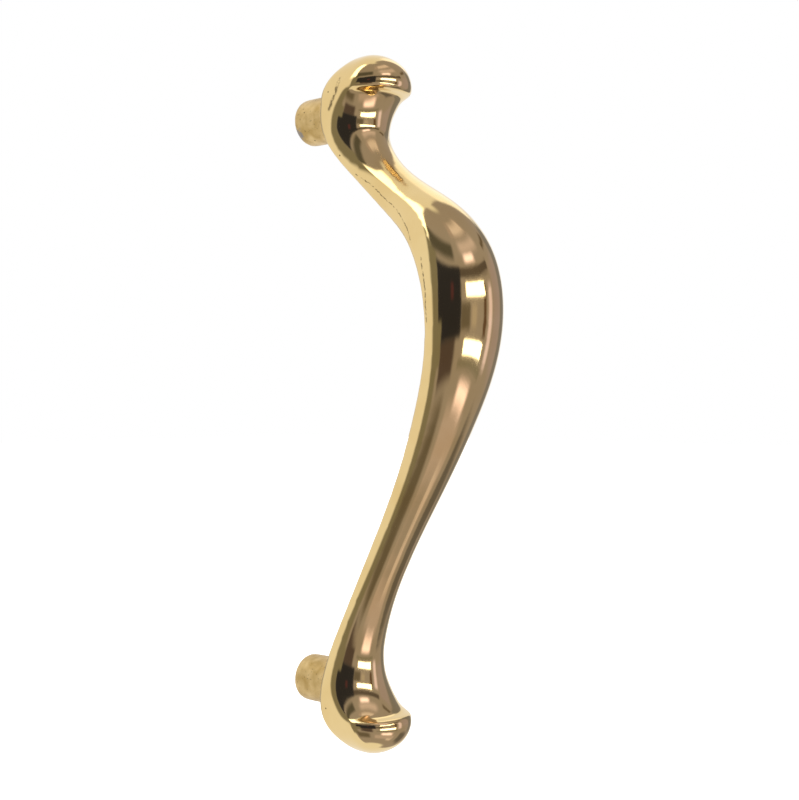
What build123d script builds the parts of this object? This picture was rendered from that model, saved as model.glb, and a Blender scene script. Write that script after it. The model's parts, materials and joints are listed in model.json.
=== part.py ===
"""Bowed cabinet handle, cast in one piece with two tapped posts.

The handle stands as it does on a door: +Z runs up its length, the front looks
along -Y, and the door is the plane Y = 0. The origin lies midway between the two
screw holes. All sizes are in millimetres.
"""

import os
from math import cos, radians, sin

from build123d import *

# Fixing: two posts, each with a blind hole tapped for a number 8 screw
hole_spacing = 76.2
tap_drill_diameter = 3.45
hole_depth = 10.0
post_diameter = 6.35
post_end_chamfer = 0.3

# Each post flares into its foot, from this far clear of the lip's back to as far inside it
post_flare_clear = 0.95
post_flare_taper = 20

# Every cross-section is a D: a flat back with bevelled edges, two straight side walls and an arched crown
back_edge_bevel = 0.35

# The lip under each nose, measured from the axis of the post towards the handle's end
upper_lip_rise = 2.05
lower_lip_rise = 3.15

# Every section of a foot is measured from the one at its lip, and the lip's edge is eased by a bevel
lip_back = 7.45
lip_half_width = 5.4
lip_edge_bevel = 0.25

# Nose above the lip: height over the lip, back beyond the lip's, half width as a share of the lip's,
# wall, crown, bevel of the back edges
# A back is measured from the door, and the wall and crown follow from it to the front
NOSE = [
    (-0.8, -0.25, 1.0, 5.5, 3.85, back_edge_bevel),
    (0.0, 0.0, 1.0, 5.65, 3.8, back_edge_bevel),
    (0.8, 0.3, 0.985, 5.65, 3.7, 0.4),
    (1.6, 0.65, 0.945, 5.45, 3.55, 0.5),
    (2.4, 1.05, 0.88, 5.1, 3.3, 0.7),
    (3.2, 1.55, 0.778, 4.55, 2.95, 0.9),
    (3.95, 2.1, 0.64, 3.8, 2.45, 1.0),
    (4.6, 2.7, 0.463, 2.85, 1.8, 0.9),
    (5.0, 3.3, 0.287, 1.9, 1.2, 0.6),
    (5.2, 3.8, 0.139, 1.1, 0.65, 0.3),
]

# Saddle below each lip: height under the lip, back beyond the lip's, half width as a share of the lip's,
# wall, crown
UPPER_SADDLE = [
    (-0.8, 0.3, 1.004, 5.6, 3.1),
    (0.0, 0.0, 1.0, 4.8, 3.1),
    (0.8, -0.25, 0.987, 4.1, 3.42),
    (1.6, -0.4, 0.972, 3.5, 3.65),
    (2.4, -0.5, 0.963, 3.0, 3.8),
    (3.2, -0.5, 0.954, 2.6, 3.9),
]
LOWER_SADDLE = [
    (-0.8, 0.3, 0.998, 5.45, 3.3),
    (0.0, 0.0, 1.0, 4.75, 3.35),
    (0.8, -0.23, 1.0, 4.05, 3.42),
    (1.7, -0.36, 0.994, 3.4, 3.45),
    (2.8, -0.4, 0.978, 2.75, 3.46),
    (4.2, -0.4, 0.926, 2.2, 3.45),
]

# Grip from the upper foot to the lower: height as a share of half the hole spacing,
# back, lean of the section above level in degrees, half width, wall, crown
GRIP = [
    (0.94, 7.15, 2, 5.15, 2.25, 3.8),
    (0.89, 7.85, 14, 4.95, 1.85, 3.75),
    (0.82, 9.65, 35, 4.4, 1.7, 3.4),
    (0.73, 12.95, 50, 3.8, 2.3, 2.35),
    (0.63, 17.2, 50, 3.9, 3.15, 2.0),
    (0.54, 21.2, 39, 4.75, 3.7, 2.45),
    (0.44, 24.0, 24, 5.65, 2.85, 4.0),
    (0.30, 25.7, 6, 6.05, 2.15, 4.3),
    (0.14, 25.4, -11, 5.7, 2.05, 3.7),
    (-0.03, 23.2, -24, 4.8, 2.1, 3.1),
    (-0.215, 20.1, -26, 4.0, 1.97, 2.55),
    (-0.40, 16.4, -27, 3.45, 1.8, 2.2),
    (-0.56, 13.1, -28, 3.3, 1.7, 2.15),
    (-0.69, 10.65, -25, 3.5, 1.68, 2.3),
    (-0.79, 8.95, -19, 3.85, 1.75, 2.6),
    (-0.87, 7.75, -12, 4.2, 1.95, 2.9),
    (-0.93, 7.2, -5, 4.6, 2.05, 3.28),
]

post_height = hole_spacing / 2
upper_lip = post_height + upper_lip_rise
lower_lip = -post_height - lower_lip_rise


def d_section(height, back, lean, half_width, wall, crown, bevel=back_edge_bevel):
    """Draw one D at its height, leaned up from level, with its flat back towards the door."""
    slope = radians(lean)
    plane = Plane(
        origin=(0, -back, height),
        x_dir=(1, 0, 0),
        z_dir=(0, -sin(slope), -cos(slope)),
    )
    with BuildSketch(plane) as section:
        with BuildLine():
            Polyline((-half_width, wall), (-half_width, 0), (half_width, 0), (half_width, wall))
            ThreePointArc((half_width, wall), (0, wall + crown), (-half_width, wall))
        make_face()
        chamfer(section.vertices().group_by(Axis.Y)[0], bevel)
    return section.sketch


def foot_section(height, back, share, *sizes):
    """Draw one level D of a foot from its sizes at the lip."""
    return d_section(height, lip_back + back, 0, share * lip_half_width, *sizes)


# One nose with its lip at Z = 0, used at both ends
with BuildPart() as nose:
    loft([foot_section(*station) for station in NOSE])
    split(bisect_by=Plane.XY, keep=Keep.TOP)
    lip_edge = nose.edges().group_by(Axis.Z)[0].sort_by(SortBy.LENGTH)[-1]
    chamfer(lip_edge, lip_edge_bevel)

# The whole casting: grip, saddles, noses and posts
with BuildPart() as handle:
    upper_saddle = [foot_section(upper_lip - drop, *sizes) for drop, *sizes in UPPER_SADDLE]
    grip = [d_section(share * post_height, *sizes) for share, *sizes in GRIP]
    lower_saddle = [foot_section(lower_lip + drop, *sizes) for drop, *sizes in LOWER_SADDLE]
    loft(upper_saddle + grip + lower_saddle[::-1])
    split(bisect_by=Plane.XY.offset(upper_lip), keep=Keep.BOTTOM)
    split(bisect_by=Plane.XY.offset(lower_lip), keep=Keep.TOP)
    with Locations((0, 0, upper_lip)):
        add(nose.part)
    with Locations((0, 0, lower_lip)):
        add(nose.part.mirror(Plane.XY))
    # Each post runs into its foot as deep as its own hole
    with BuildSketch(Plane.XZ):
        with GridLocations(0, hole_spacing, 1, 2):
            Circle(post_diameter / 2)
    extrude(amount=hole_depth)
    with BuildSketch(Plane.XZ.offset(lip_back - post_flare_clear)):
        with GridLocations(0, hole_spacing, 1, 2):
            Circle(post_diameter / 2)
    extrude(amount=2 * post_flare_clear, taper=-post_flare_taper)
    with Locations(Plane(origin=(0, 0, 0), x_dir=(1, 0, 0), z_dir=(0, 1, 0))):
        with GridLocations(0, hole_spacing, 1, 2):
            Hole(tap_drill_diameter / 2, hole_depth)
    chamfer(handle.faces().sort_by(Axis.Y)[-2:].edges().group_by(SortBy.RADIUS)[-1], post_end_chamfer)

os.makedirs("parts", exist_ok=True)
handle.part.label = "handle"
export_step(handle.part, "parts/handle.step")
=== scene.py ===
"""A bowed brass cabinet handle, cast in one piece, seen from its front left on plain white."""

import json
from math import cos, radians, sin

import bpy
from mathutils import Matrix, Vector


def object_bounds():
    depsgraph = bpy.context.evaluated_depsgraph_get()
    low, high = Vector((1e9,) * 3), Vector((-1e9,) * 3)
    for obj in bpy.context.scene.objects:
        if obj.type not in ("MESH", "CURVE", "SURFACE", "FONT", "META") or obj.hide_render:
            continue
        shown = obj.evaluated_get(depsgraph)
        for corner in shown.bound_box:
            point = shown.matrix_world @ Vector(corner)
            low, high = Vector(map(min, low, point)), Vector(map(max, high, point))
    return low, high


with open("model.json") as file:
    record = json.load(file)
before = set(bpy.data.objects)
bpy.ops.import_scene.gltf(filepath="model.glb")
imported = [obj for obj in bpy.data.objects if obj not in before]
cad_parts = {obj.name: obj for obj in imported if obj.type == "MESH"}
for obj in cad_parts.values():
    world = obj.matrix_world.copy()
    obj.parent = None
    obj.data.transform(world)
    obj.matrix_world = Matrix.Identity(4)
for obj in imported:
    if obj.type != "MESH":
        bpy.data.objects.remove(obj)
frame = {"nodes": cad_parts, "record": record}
cad_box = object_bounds()

# Handle
# One brass casting, bowed to the hand, with a nose over each foot and a tapped post behind it.
# It was filed along its parting line, buffed to a mirror and lacquered. The posts and back stayed satin.
mm = 0.001
handle = frame["nodes"]["handle"]


def linear(hex_colour):
    """Turn an sRGB hex colour into the linear RGBA that a shader socket takes."""
    parts = [int(hex_colour[i : i + 2], 16) / 255 for i in (1, 3, 5)]
    return [c / 12.92 if c <= 0.04045 else ((c + 0.055) / 1.055) ** 2.4 for c in parts] + [1.0]


def add(tree, kind, settings=(), **links):
    """Add a node, set its properties and sockets, and link what is given as a socket.

    A socket goes by its name, with _ for a space, or by its place among the inputs, such as _0.
    """
    node = tree.nodes.new(kind)
    for name, value in dict(settings).items():
        setattr(node, name, value)
    for name, value in links.items():
        number = name[1:]
        socket = node.inputs[int(number) if number.isdigit() else name.replace("_", " ")]
        if isinstance(value, bpy.types.NodeSocket):
            tree.links.new(value, socket)
        else:
            socket.default_value = value
    return node


# Settings of a node that eases between two ends, and of one that mixes colours
smooth_step = {"interpolation_type": "SMOOTHSTEP"}
of_colours = {"data_type": "RGBA"}

# Buffed brass under clear lacquer mirrors what stands round it, tinted gold. The buff leaves it a little
# wavy and hazy, and the unbuffed posts and back scatter the light.
buffed_gold = linear("#E6CB92")
deeper_gold = linear("#D9B877")
pale_satin = linear("#DABD85")
dull_satin = linear("#BA9B5F")
old_scuff = linear("#55472F")
# Dark olive brown, for the painted crease shade and for the darker patches round the posts
dark_olive_brown = linear("#6E5A34")
blue_grey_stain = linear("#7C828C")

brass = bpy.data.materials.new("buffed_cast_brass")
brass.use_nodes = True
tree = brass.node_tree
shader = tree.nodes["Principled BSDF"]
shader.inputs["Metallic"].default_value = 1.0
place = add(tree, "ShaderNodeTexCoord").outputs["Object"]
place_parts = add(tree, "ShaderNodeSeparateXYZ", _0=place).outputs
normal = add(tree, "ShaderNodeNewGeometry").outputs["Normal"]
normal_parts = add(tree, "ShaderNodeSeparateXYZ", _0=normal).outputs

# The lacquer's tone drifts over patches half as wide as a finger
tone_width = 7 * mm
tone_low = 0.40
tone_high = 0.75
deepest_tone = 0.6
tone = add(tree, "ShaderNodeTexNoise", Vector=place, Scale=1 / tone_width, Detail=4.0).outputs[0]
tone = add(
    tree, "ShaderNodeMapRange", _0=tone, From_Min=tone_low, From_Max=tone_high, To_Max=deepest_tone
).outputs[0]
colour = add(tree, "ShaderNodeMix", of_colours, _0=tone, _6=buffed_gold, _7=deeper_gold).outputs[2]

# The buffing wheel didn't reach the posts or the flat back. The posts end this far from the door, and
# a facing is 0 on the flanks and 1 where the surface looks straight back.
buffed_end = 6.9 * mm
satin_start = 6.3 * mm
edge_facing_back = 0.35
face_facing_back = 0.60
on_post = add(
    tree,
    "ShaderNodeMapRange",
    smooth_step,
    _0=place_parts["Y"],
    From_Min=-buffed_end,
    From_Max=-satin_start,
).outputs[0]
on_back = add(
    tree,
    "ShaderNodeMapRange",
    smooth_step,
    _0=normal_parts["Y"],
    From_Min=edge_facing_back,
    From_Max=face_facing_back,
).outputs[0]
satin = add(tree, "ShaderNodeMath", {"operation": "MAXIMUM"}, _0=on_post, _1=on_back).outputs[0]

# The satin faces are mottled, with small dark specks
mottle_width = 1.6 * mm
mottle_low = 0.32
mottle_high = 0.68
speck_width = 0.35 * mm
speck_low = 0.66
speck_high = 0.76
darkest_speck = 0.5
mottle = add(tree, "ShaderNodeTexNoise", Vector=place, Scale=1 / mottle_width, Detail=3.0).outputs[0]
mottle = add(tree, "ShaderNodeMapRange", _0=mottle, From_Min=mottle_low, From_Max=mottle_high).outputs[0]
satin_tone = add(tree, "ShaderNodeMix", of_colours, _0=mottle, _6=dull_satin, _7=pale_satin).outputs[2]
speck = add(tree, "ShaderNodeTexNoise", Vector=place, Scale=1 / speck_width, Detail=1.0).outputs[0]
speck = add(
    tree, "ShaderNodeMapRange", _0=speck, From_Min=speck_low, From_Max=speck_high, To_Max=darkest_speck
).outputs[0]
satin_tone = add(tree, "ShaderNodeMix", of_colours, _0=speck, _6=satin_tone, _7=old_scuff).outputs[2]
colour = add(tree, "ShaderNodeMix", of_colours, _0=satin, _6=colour, _7=satin_tone).outputs[2]

# Darker patches behind the feet, round the posts, most of all along the feet's back edges, fainter on the
# flat back and none on the posts
screw_holes = frame["record"]["mounts"][0]["dims"]
post_height = screw_holes["spacing_y_mm"] / 2 * mm
darkening_reach = 6.6 * mm
darkening_full = 5.4 * mm
most_darkening = 0.75
edge_start = 0.15
edge_full = 0.45
flat_start = 0.75
flat_full = 0.98
darkening_on_flat = 0.4
from_middle = add(tree, "ShaderNodeMath", {"operation": "ABSOLUTE"}, _0=place_parts["Z"]).outputs[0]
past_post = add(
    tree, "ShaderNodeMath", {"operation": "SUBTRACT"}, _0=from_middle, _1=post_height
).outputs[0]
from_post = add(tree, "ShaderNodeCombineXYZ", _0=place_parts["X"], _2=past_post).outputs[0]
from_post = add(tree, "ShaderNodeVectorMath", {"operation": "LENGTH"}, _0=from_post).outputs["Value"]
darker_round_posts = add(
    tree,
    "ShaderNodeMapRange",
    smooth_step,
    _0=from_post,
    From_Min=darkening_reach,
    From_Max=darkening_full,
    To_Max=most_darkening,
).outputs[0]
on_edge = add(
    tree,
    "ShaderNodeMapRange",
    smooth_step,
    _0=normal_parts["Y"],
    From_Min=edge_start,
    From_Max=edge_full,
).outputs[0]
off_flat = add(
    tree,
    "ShaderNodeMapRange",
    smooth_step,
    _0=normal_parts["Y"],
    From_Min=flat_start,
    From_Max=flat_full,
    To_Min=1.0,
    To_Max=darkening_on_flat,
).outputs[0]
off_post = add(tree, "ShaderNodeMath", {"operation": "SUBTRACT"}, _0=1.0, _1=on_post).outputs[0]
for share in (on_edge, off_flat, off_post):
    darker_round_posts = add(
        tree, "ShaderNodeMath", {"operation": "MULTIPLY"}, _0=darker_round_posts, _1=share
    ).outputs[0]
colour = add(tree, "ShaderNodeMix", of_colours, _0=darker_round_posts, _6=colour, _7=dark_olive_brown).outputs[2]

# Painted shade: the colour darkens in the creases, round the roots of the posts and under the lips, where
# ambient occlusion finds the surface hemmed in
crease_reach = 0.7 * mm
crease_samples = 12
shade_start = 0.88
shade_full = 0.60
most_shade = 0.55
openness = add(
    tree, "ShaderNodeAmbientOcclusion", {"samples": crease_samples}, Distance=crease_reach
).outputs["AO"]
painted_crease_shade = add(
    tree,
    "ShaderNodeMapRange",
    smooth_step,
    _0=openness,
    From_Min=shade_start,
    From_Max=shade_full,
    To_Max=most_shade,
).outputs[0]
# The painted crease shade is mixed into the colour here
colour = add(tree, "ShaderNodeMix", of_colours, _0=painted_crease_shade, _6=colour, _7=dark_olive_brown).outputs[2]

# Scuffs along the parting line on both flanks, in millimetres: each stroke's half width, then the places
# that it runs through, by their Y and Z
scuff_strokes = [
    (0.40, [(-11.0, 41.7), (-10.4, 39.9), (-9.1, 38.0)]),
    (0.11, [(-12.7, 29.2), (-15.3, 27.6), (-17.6, 25.7), (-20.0, 24.0), (-22.4, 21.3), (-23.4, 19.4)]),
    (0.16, [(-25.4, 17.4), (-26.3, 13.9), (-26.6, 9.5)]),
]
stroke_core = 0.1
most_scuff = 0.75
wobble = 0.35 * mm
fleck_length = 0.5 * mm
fleck_low = 0.34
fleck_high = 0.58
noise_mean = (0.5, 0.5, 0.5)
onto_flank = (0, 1, 1)
drift = add(
    tree, "ShaderNodeTexNoise", Vector=place, Scale=1 / fleck_length, Detail=2.0
).outputs["Color"]
drift = add(tree, "ShaderNodeVectorMath", {"operation": "SUBTRACT"}, _0=drift, _1=noise_mean).outputs[0]
flank_place = add(
    tree, "ShaderNodeVectorMath", {"operation": "MULTIPLY_ADD"}, _0=drift, _1=[wobble] * 3, _2=place
).outputs[0]
flank_place = add(
    tree, "ShaderNodeVectorMath", {"operation": "MULTIPLY"}, _0=flank_place, _1=onto_flank
).outputs[0]
fleck = add(tree, "ShaderNodeTexNoise", Vector=place, Scale=1 / fleck_length, Detail=3.0).outputs[0]
fleck = add(
    tree, "ShaderNodeMapRange", smooth_step, _0=fleck, From_Min=fleck_low, From_Max=fleck_high
).outputs[0]
scuff = 0.0
for half_width, stops in scuff_strokes:
    for (start_y, start_z), (end_y, end_z) in zip(stops, stops[1:]):
        start = Vector((0, start_y, start_z)) * mm
        run = Vector((0, end_y - start_y, end_z - start_z)) * mm
        run_share = run / run.dot(run)
        from_start = add(
            tree, "ShaderNodeVectorMath", {"operation": "SUBTRACT"}, _0=flank_place, _1=start
        ).outputs[0]
        along = add(
            tree, "ShaderNodeVectorMath", {"operation": "DOT_PRODUCT"}, _0=from_start, _1=run_share
        ).outputs["Value"]
        along = add(tree, "ShaderNodeClamp", _0=along).outputs[0]
        nearest = add(tree, "ShaderNodeVectorMath", {"operation": "SCALE"}, _0=run, Scale=along).outputs[0]
        aside = add(
            tree, "ShaderNodeVectorMath", {"operation": "DISTANCE"}, _0=from_start, _1=nearest
        ).outputs["Value"]
        stroke = add(
            tree,
            "ShaderNodeMapRange",
            smooth_step,
            _0=aside,
            From_Min=half_width * mm,
            From_Max=stroke_core * half_width * mm,
        ).outputs[0]
        scuff = add(tree, "ShaderNodeMath", {"operation": "MAXIMUM"}, _0=scuff, _1=stroke).outputs[0]
scuff = add(tree, "ShaderNodeMath", {"operation": "MULTIPLY"}, _0=scuff, _1=fleck).outputs[0]

# Pits that the mould left, each a dark speck, by their places in millimetres
pit_radius = 0.16 * mm
pit_core = 0.4
pits = [
    (-5.4, -9.1, 40.2),
    (-3.1, -2.2, 38.9),
    (-1.4, -2.6, 35.3),
    (-4.4, -10.3, 31.9),
    (-5.4, -8.7, -40.3),
]
for pit in pits:
    from_pit = add(
        tree, "ShaderNodeVectorMath", {"operation": "DISTANCE"}, _0=place, _1=Vector(pit) * mm
    ).outputs["Value"]
    pit_mark = add(
        tree,
        "ShaderNodeMapRange",
        smooth_step,
        _0=from_pit,
        From_Min=pit_radius,
        From_Max=pit_core * pit_radius,
    ).outputs[0]
    scuff = add(tree, "ShaderNodeMath", {"operation": "MAXIMUM"}, _0=scuff, _1=pit_mark).outputs[0]

# A blue-grey stain with a ragged edge on the rim of the upper post
stain_middle = Vector((-2.5, -0.4, 36.1)) * mm
stain_radius = 1.6 * mm
stain_core = 0.3
stain_raggedness = 0.5 * mm
most_stain = 0.85
from_stain = add(
    tree, "ShaderNodeVectorMath", {"operation": "DISTANCE"}, _0=place, _1=stain_middle
).outputs["Value"]
from_stain = add(
    tree, "ShaderNodeMath", {"operation": "MULTIPLY_ADD"}, _0=fleck, _1=stain_raggedness, _2=from_stain
).outputs[0]
stain = add(
    tree,
    "ShaderNodeMapRange",
    smooth_step,
    _0=from_stain,
    From_Min=stain_radius,
    From_Max=stain_core * stain_radius,
    To_Max=most_stain,
).outputs[0]
colour = add(tree, "ShaderNodeMix", of_colours, _0=stain, _6=colour, _7=blue_grey_stain).outputs[2]
scuff_share = add(tree, "ShaderNodeMath", {"operation": "MULTIPLY"}, _0=scuff, _1=most_scuff).outputs[0]
colour = add(tree, "ShaderNodeMix", of_colours, _0=scuff_share, _6=colour, _7=old_scuff).outputs[2]
tree.links.new(colour, shader.inputs["Base Color"])

# A mirror finish with a faint haze, rougher on the satin faces and in the scuffs
mirror_roughness = 0.07
haze_roughness = 0.03
satin_roughness = 0.30
scuff_roughness = 0.35
haze_width = 3 * mm
haze = add(tree, "ShaderNodeTexNoise", Vector=place, Scale=1 / haze_width, Detail=4.0).outputs[0]
rough = mirror_roughness
for share, roughness in ((haze, haze_roughness), (satin, satin_roughness), (scuff, scuff_roughness)):
    rough = add(
        tree, "ShaderNodeMath", {"operation": "MULTIPLY_ADD"}, _0=share, _1=roughness, _2=rough
    ).outputs[0]
tree.links.new(rough, shader.inputs["Roughness"])

# Heights in millimetres: the buff's waves, the cast grain of the satin faces and the scuffs' grooves
wave_length = 2.5 * mm
wave_height = 0.002
grain_width = 0.4 * mm
grain_height = 0.012
scuff_height = -0.012
wave = add(tree, "ShaderNodeTexNoise", Vector=place, Scale=1 / wave_length, Detail=1.0).outputs[0]
grain = add(tree, "ShaderNodeTexNoise", Vector=place, Scale=1 / grain_width, Detail=3.0).outputs[0]
grain = add(tree, "ShaderNodeMath", {"operation": "MULTIPLY"}, _0=grain, _1=satin).outputs[0]
height = 0.0
for share, tallest in ((wave, wave_height), (grain, grain_height), (scuff, scuff_height)):
    height = add(
        tree, "ShaderNodeMath", {"operation": "MULTIPLY_ADD"}, _0=share, _1=tallest, _2=height
    ).outputs[0]
relief = add(tree, "ShaderNodeBump", Height=height, Distance=mm)
tree.links.new(relief.outputs[0], shader.inputs["Normal"])

handle.data.materials.clear()
handle.data.materials.append(brass)

# The buff rounds every lip and crease by a fraction of a millimetre
skin_step = 0.23 * mm
buff_strength = 0.5
buff_passes = 36
skin = handle.modifiers.new("fine_skin", "REMESH")
skin.mode = "VOXEL"
skin.voxel_size = skin_step
skin.use_smooth_shade = True
buff = handle.modifiers.new("buff", "SMOOTH")
buff.factor = buff_strength
buff.iterations = buff_passes

# Screw threads
# Each post is tapped for a number 8 screw, 32 threads to the inch. The tap cut a helical groove into
# the wall of the drilled bore, which a screw-shaped cutter takes out of the fine skin here.
inch = 25.4 * mm
threads_per_inch = 32
screw_diameter = 4.17 * mm
thread_depth = 8.5 * mm
# The cutter starts outside the post's end, and the troughs of its thread lie inside the bore
thread_run_out = 0.4 * mm
thread_root_inside = 0.12 * mm
thread_sides = 36
rings_per_turn = 6

thread_pitch = inch / threads_per_inch
thread_outer_radius = screw_diameter / 2
thread_inner_radius = screw_holes["hole_r_mm"] * mm - thread_root_inside
ring_step = thread_pitch / rings_per_turn
rings = round((thread_depth + thread_run_out) / ring_step)
points = []
faces = []
for hole_height in (-post_height, post_height):
    first = len(points)
    for ring in range(rings + 1):
        out = thread_run_out - ring * ring_step
        for side in range(thread_sides):
            turn = side / thread_sides
            phase = (turn + out / thread_pitch) % 1
            share = 1 - abs(2 * phase - 1)
            radius = thread_inner_radius + (thread_outer_radius - thread_inner_radius) * share
            angle = radians(360 * turn)
            points.append((radius * cos(angle), out, hole_height + radius * sin(angle)))
    for ring in range(rings):
        for side in range(thread_sides):
            here = first + ring * thread_sides + side
            beside = first + ring * thread_sides + (side + 1) % thread_sides
            faces.append((here, beside, beside + thread_sides, here + thread_sides))
    faces.append(tuple(range(first + thread_sides - 1, first - 1, -1)))
    faces.append(tuple(range(first + rings * thread_sides, first + (rings + 1) * thread_sides)))
tap_mesh = bpy.data.meshes.new("tap")
tap_mesh.from_pydata(points, [], faces)
tap_mesh.materials.append(brass)
tap = bpy.data.objects.new("tap", tap_mesh)
bpy.context.scene.collection.objects.link(tap)
tap.hide_render = True
tapping = handle.modifiers.new("tapping", "BOOLEAN")
tapping.operation = "DIFFERENCE"
tapping.solver = "MANIFOLD"
tapping.object = tap

# Floor
# A plain sheet of white paper, laid flat a little below the handle. Matt paper scatters the light
# evenly, and it is lit so white that the handle's soft shadow is lost in it.
floor_drop = 14 * mm
floor_half = 1.5
paper_white = linear("#E8E8E8")
floor_height = cad_box[0].z - floor_drop
floor_corners = [
    (-floor_half, -floor_half, floor_height),
    (floor_half, -floor_half, floor_height),
    (floor_half, floor_half, floor_height),
    (-floor_half, floor_half, floor_height),
]
floor_mesh = bpy.data.meshes.new("floor")
floor_mesh.from_pydata(floor_corners, [], [(0, 1, 2, 3)])
floor = bpy.data.objects.new("floor", floor_mesh)
bpy.context.scene.collection.objects.link(floor)
# The mirror finish sees past the sheet to the studio below
floor.visible_glossy = False
paper = bpy.data.materials.new("white_paper")
paper.use_nodes = True
tree = paper.node_tree
tree.nodes.remove(tree.nodes["Principled BSDF"])
rays = add(tree, "ShaderNodeLightPath").outputs
seen = rays["Is Camera Ray"]
for ray in ("Is Glossy Ray", "Is Transmission Ray"):
    seen = add(tree, "ShaderNodeMath", {"operation": "MAXIMUM"}, _0=seen, _1=rays[ray]).outputs[0]
diffuse = add(tree, "ShaderNodeBsdfDiffuse", Color=paper_white).outputs[0]
glow = add(tree, "ShaderNodeEmission", Strength=seen).outputs[0]
both = add(tree, "ShaderNodeAddShader", _0=diffuse, _1=glow).outputs[0]
tree.links.new(both, tree.nodes["Material Output"].inputs["Surface"])
floor_mesh.materials.append(paper)

# Studio
# White all round, with cloth cards and lamps hung in front of it, on a ball round the handle, for the
# mirror finish to show. Only mirrored rays meet them, so the floor is lit by the white alone.
studio_middle = Vector((0, -20, 0)) * mm
studio_radius = 430 * mm
# Each card hangs a little nearer than the last, and its mesh has a step of about four degrees
card_gap = 2 * mm
card_step = 4
fewest_steps = 2
card_middle = 0.5
hung = []

world = bpy.data.worlds.new("studio")
bpy.context.scene.world = world
world.use_nodes = True
background = world.node_tree.nodes["Background"]
background.inputs["Color"].default_value = (1, 1, 1, 1)
background.inputs["Strength"].default_value = 1.0


def hang_card(name, left, right, low, high, colour, strength, soft):
    """Hang one glowing cloth in the studio, in front of those hung before.

    Its sides are degrees to the right of the front, its edges degrees above level, and the soft
    margin that it fades over is in degrees too.
    """
    radius = studio_radius - card_gap * len(hung)
    columns = max(fewest_steps, round((right - left) / card_step))
    rows = max(fewest_steps, round((high - low) / card_step))
    points = []
    for row in range(rows + 1):
        tilt = radians(low + (high - low) * row / rows)
        for column in range(columns + 1):
            turn = radians(left + (right - left) * column / columns)
            out = Vector((sin(turn) * cos(tilt), -cos(turn) * cos(tilt), sin(tilt)))
            points.append(studio_middle + out * radius)
    faces = []
    for row in range(rows):
        for column in range(columns):
            corner = row * (columns + 1) + column
            faces.append((corner, corner + 1, corner + columns + 2, corner + columns + 1))
    mesh = bpy.data.meshes.new(name)
    mesh.from_pydata(points, [], faces)
    layer = mesh.uv_layers.new()
    for loop in mesh.loops:
        row, column = divmod(loop.vertex_index, columns + 1)
        layer.data[loop.index].uv = (column / columns, row / rows)
    card = bpy.data.objects.new(name, mesh)
    bpy.context.scene.collection.objects.link(card)
    card.visible_camera = False
    card.visible_diffuse = False
    card.visible_shadow = False
    # Lit cloth glows evenly and fades out at its edges, so the brass shows it as a patch with a soft rim
    cloth = bpy.data.materials.new(name + "_cloth")
    cloth.use_nodes = True
    tree = cloth.node_tree
    tree.nodes.remove(tree.nodes["Principled BSDF"])
    across = add(tree, "ShaderNodeTexCoord").outputs["UV"]
    across_parts = add(tree, "ShaderNodeSeparateXYZ", _0=across).outputs
    cover = 1.0
    for part, span in (("X", right - left), ("Y", high - low)):
        inward = add(
            tree, "ShaderNodeMath", {"operation": "PINGPONG"}, _0=across_parts[part], _1=card_middle
        ).outputs[0]
        margin = min(card_middle, soft / span)
        edge = add(tree, "ShaderNodeMapRange", smooth_step, _0=inward, From_Max=margin).outputs[0]
        cover = add(tree, "ShaderNodeMath", {"operation": "MULTIPLY"}, _0=cover, _1=edge).outputs[0]
    glow = add(tree, "ShaderNodeEmission", Color=linear(colour), Strength=strength).outputs[0]
    clear = add(tree, "ShaderNodeBsdfTransparent").outputs[0]
    mixed = add(tree, "ShaderNodeMixShader", _0=cover, _1=clear, _2=glow).outputs[0]
    tree.links.new(mixed, tree.nodes["Material Output"].inputs["Surface"])
    mesh.materials.append(cloth)
    hung.append(card)


# Flats, cloths and flags, from the farthest to the nearest
hang_card("backdrop", -108, 108, -80, 89, "#A9A3AA", 1.0, 8)
hang_card("left_flat", -124, -78, -50, 46, "#8B897F", 1.0, 12)
hang_card("right_flat", 50, 84, -20, 30, "#B0A7BA", 1.0, 8)
hang_card("far_right_flat", 80, 110, -32, 38, "#8A8A92", 1.0, 6)
hang_card("overhead_cloth", -40, 48, 54, 76, "#BCAFB6", 1.0, 10)
hang_card("overhead_glow", -28, 50, 38, 59, "#DCCFDF", 1.0, 16)
hang_card("overhead_lamp", -24, 42, 57, 75, "#EEE2EE", 1.0, 8)
hang_card("lower_cloth", -40, 40, -60, -36, "#C8BCC8", 1.0, 10)
hang_card("lower_glow", 6, 34, -62, -48, "#E6DAE8", 1.0, 7)
hang_card("lower_left_cloth", -100, -44, -60, -30, "#716B66", 1.0, 12)
hang_card("lower_right_cloth", 48, 90, -60, -27, "#716F75", 1.0, 10)
hang_card("upper_bar", -50, 52, 22, 33, "#625B5C", 1.0, 4)
hang_card("upper_left_flag", -108, -36, 33, 55, "#5E5D5A", 1.0, 8)
hang_card("upper_right_flag", 56, 84, 33, 42, "#6A6055", 1.0, 5)
hang_card("lower_bar", -30, 40, -29, -21, "#908E8C", 1.0, 4)
hang_card("grey_panel", -32, -6, -11, 11, "#736D69", 1.0, 6)
hang_card("pale_panel", -9, 10, -10, 10, "#C0B8B8", 1.0, 7)
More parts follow.
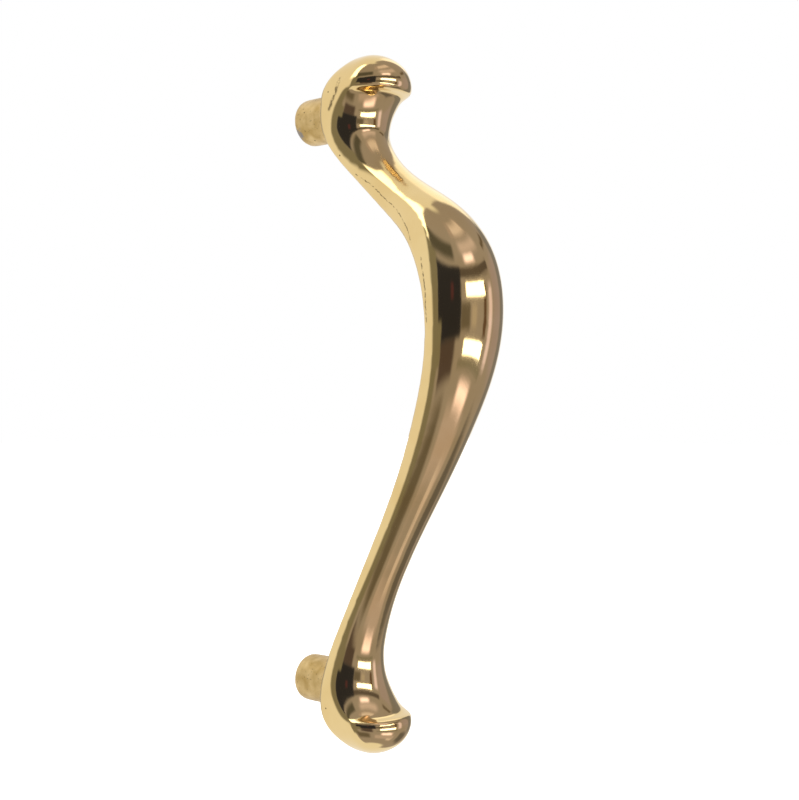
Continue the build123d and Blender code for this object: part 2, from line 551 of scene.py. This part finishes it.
hang_card("brown_strip", 22, 34, -12, 20, "#6A5548", 1.0, 4)
hang_card("pale_strip", 36, 53, -24, 20, "#E8DBFF", 1.25, 7)
hang_card("lower_left_flag", -76, -36, -34, -6, "#5C5256", 1.0, 7)
hang_card("black_flag", -88, -27, -14, 34, "#33343F", 1.0, 5)
hang_card("red_strip", -55, -45, 8, 22, "#5A3A44", 1.0, 4)
hang_card("flag_edge", -92, -70, -24, 2, "#8B897F", 1.0, 5)

# Softboxes high on both sides, a little behind the handle
hang_card("left_softbox", -142, -96, 35, 82, "#FFFFFF", 3.2, 10)
hang_card("right_softbox", 97, 125, 28, 68, "#FFFFFF", 1.4, 8)

# Four lamps in front: two white tubes, with a soft lilac one above them and another below, which the
# brass turns warm
hang_card("upper_warm_lamp", -19, 21, 32, 45, "#F5E2FF", 2.1, 12)
hang_card("lower_warm_lamp", -20, 28, -45, -29, "#F5E2FF", 2.0, 12)
hang_card("upper_lamp", -19, 29, 11, 21, "#FFFFFF", 4.5, 1.6)
hang_card("lower_lamp", -20, 29, -21.5, -12, "#FFFFFF", 4.5, 1.6)

# Camera
# It stands as far from the handle as the perspective of the two posts says, level with the middle
# between them, and as far aside as brings the bowed handle to the picture's middle.
camera_azimuth = radians(-48)
camera_away = 182.2 * mm
camera_aside = 12.49 * mm
nearest_seen = 10 * mm
sensor_side = 36.0
focal_pixels = 1319.0
image_side = 800

camera_data = bpy.data.cameras.new("camera")
camera_data.sensor_width = sensor_side
camera_data.lens = sensor_side * focal_pixels / image_side
camera_data.clip_start = nearest_seen
camera = bpy.data.objects.new("camera", camera_data)
bpy.context.scene.collection.objects.link(camera)
towards_camera = Vector((sin(camera_azimuth), -cos(camera_azimuth), 0))
to_the_right = Vector((cos(camera_azimuth), sin(camera_azimuth), 0))
camera.location = towards_camera * camera_away + to_the_right * camera_aside
camera.rotation_mode = "QUATERNION"
camera.rotation_quaternion = towards_camera.to_track_quat("Z", "Y")
bpy.context.scene.camera = camera

bpy.context.scene.view_settings.view_transform = "Standard"
